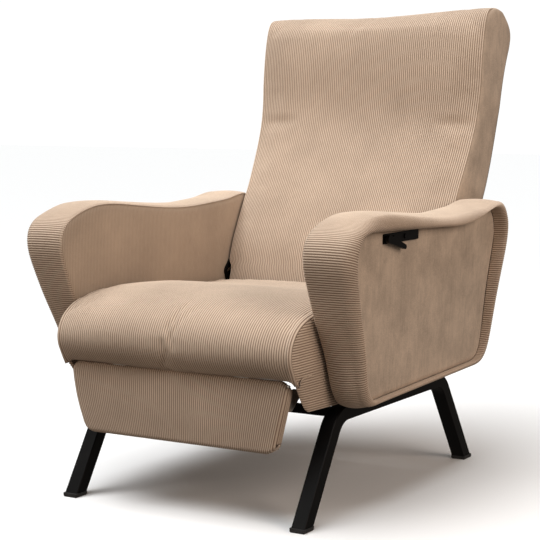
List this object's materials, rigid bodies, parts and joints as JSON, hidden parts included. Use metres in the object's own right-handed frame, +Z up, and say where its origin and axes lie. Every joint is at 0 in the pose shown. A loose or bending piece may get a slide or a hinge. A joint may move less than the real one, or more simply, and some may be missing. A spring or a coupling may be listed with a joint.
{
  "type": "recliner armchair",
  "caption": "Upholstered reclining armchair in ribbed corduroy with curved padded arms, a fold-out footrest linked to the back, a side release lever and bent black tube legs.",
  "frame": {"origin": "on the floor, under the middle of the chair's overall box", "axes": "+X to the sitter's left, along the width; -Y is the way the sitter faces; +Z up"},
  "size_m": [0.755, 0.9934, 0.9994],
  "materials": {
    "corduroy": "wide-rib corduroy",
    "webbing": "woven elastic webbing",
    "lining": "black non-woven lining",
    "frame_wood": "sawn beech and plywood",
    "black_steel": "satin black paint",
    "zinc_steel": "zinc plated",
    "glide": "black moulded"
  },
  "bodies": {
    "base": {"arm_band_left": "corduroy", "arm_band_right": "corduroy", "arm_board_left": "frame_wood", "arm_board_right": "frame_wood", "arm_bolts_left": "zinc_steel", "arm_bolts_right": "zinc_steel", "arm_cleat_left": "frame_wood", "arm_cleat_right": "frame_wood", "arm_hoop_left": "frame_wood", "arm_hoop_right": "frame_wood", "arm_inner_pad_left": "corduroy", "arm_inner_pad_right": "corduroy", "arm_outer_panel_left": "corduroy", "arm_outer_panel_right": "corduroy", "clamp_bolt": "zinc_steel", "crossbar_front": "black_steel", "crossbar_rear": "black_steel", "foot_glide_front_left": "glide", "foot_glide_front_right": "glide", "foot_glide_rear_left": "glide", "foot_glide_rear_right": "glide", "hinge_base_left": "zinc_steel", "hinge_base_right": "zinc_steel", "leg_frame_left": "black_steel", "leg_frame_right": "black_steel", "lever_plate": "black_steel", "lever_screws": "zinc_steel", "pivot_pin_left": "zinc_steel", "pivot_pin_right": "zinc_steel", "pivot_plate_left": "zinc_steel", "pivot_plate_right": "zinc_steel", "seat_cushion": "corduroy", "seat_dust_cover": "lining", "seat_frame": "frame_wood", "seat_side_left": "corduroy", "seat_side_right": "corduroy", "seat_webbing": "webbing", "stop_bolt": "zinc_steel", "tab_screws": "zinc_steel"},
    "backrest": {"back_frame": "frame_wood", "back_webbing": "webbing", "back_cushion": "corduroy", "back_rear_panel": "corduroy", "back_side_plate_left": "black_steel", "back_side_plate_right": "black_steel", "recline_crank_left": "zinc_steel", "recline_crank_right": "zinc_steel"},
    "rod_left": {"push_rod_left": "zinc_steel"},
    "rod_right": {"push_rod_right": "zinc_steel"},
    "footrest": {"footrest_board": "frame_wood", "footrest_pad": "corduroy", "footrest_back": "corduroy", "footrest_hinge_pin": "zinc_steel", "footrest_lug_left": "zinc_steel", "footrest_lug_right": "zinc_steel", "hinge_leaf_left": "zinc_steel", "hinge_leaf_right": "zinc_steel"},
    "hand_lever": {"release_lever": "black_steel"},
    "lever_link": {"pull_rod": "zinc_steel"},
    "clamp": {"clamp_lever": "zinc_steel"}
  },
  "joints": [
    {"name": "back_recline", "type": "hinge", "parent": "base", "child": "backrest", "pos_m": [0, 0.182, 0.34], "axis": [-1, 0, 0], "range_deg": [0, 38]},
    {"name": "footrest_swing", "type": "hinge", "parent": "base", "child": "footrest", "pos_m": [0, -0.443, 0.271], "axis": [-1, 0, 0], "range_deg": [0, 70]},
    {"name": "rod_left_swing", "type": "hinge", "parent": "backrest", "child": "rod_left", "pos_m": [0, 0.20739, 0.26625], "axis": [-1, 0, 0], "range_deg": [-40.5, 0]},
    {"name": "rod_right_swing", "type": "hinge", "parent": "backrest", "child": "rod_right", "pos_m": [0, 0.20739, 0.26625], "axis": [-1, 0, 0], "range_deg": [-40.5, 0]},
    {"name": "lever_pull", "type": "hinge", "parent": "base", "child": "hand_lever", "pos_m": [0, -0.266, 0.533], "axis": [1, 0, 0], "range_deg": [0, 18], "stiffness_Nm_per_rad": 1.5, "springref_deg": -8.59},
    {"name": "lever_link_swing", "type": "hinge", "parent": "hand_lever", "child": "lever_link", "pos_m": [0, -0.28894, 0.50023], "axis": [1, 0, 0], "range_deg": [-18, 0]},
    {"name": "clamp_turn", "type": "hinge", "parent": "base", "child": "clamp", "pos_m": [0, 0.20012, 0.40762], "axis": [1, 0, 0], "range_deg": [0, 18]}
  ],
  "couplings": [
    {"joint": "footrest_swing", "follows": "back_recline", "ratio": 1.842},
    {"joint": "rod_left_swing", "follows": "back_recline", "ratio": -1.06},
    {"joint": "rod_right_swing", "follows": "back_recline", "ratio": -1.06},
    {"joint": "lever_link_swing", "follows": "lever_pull", "ratio": -1},
    {"joint": "clamp_turn", "follows": "lever_pull", "ratio": 1}
  ]
}
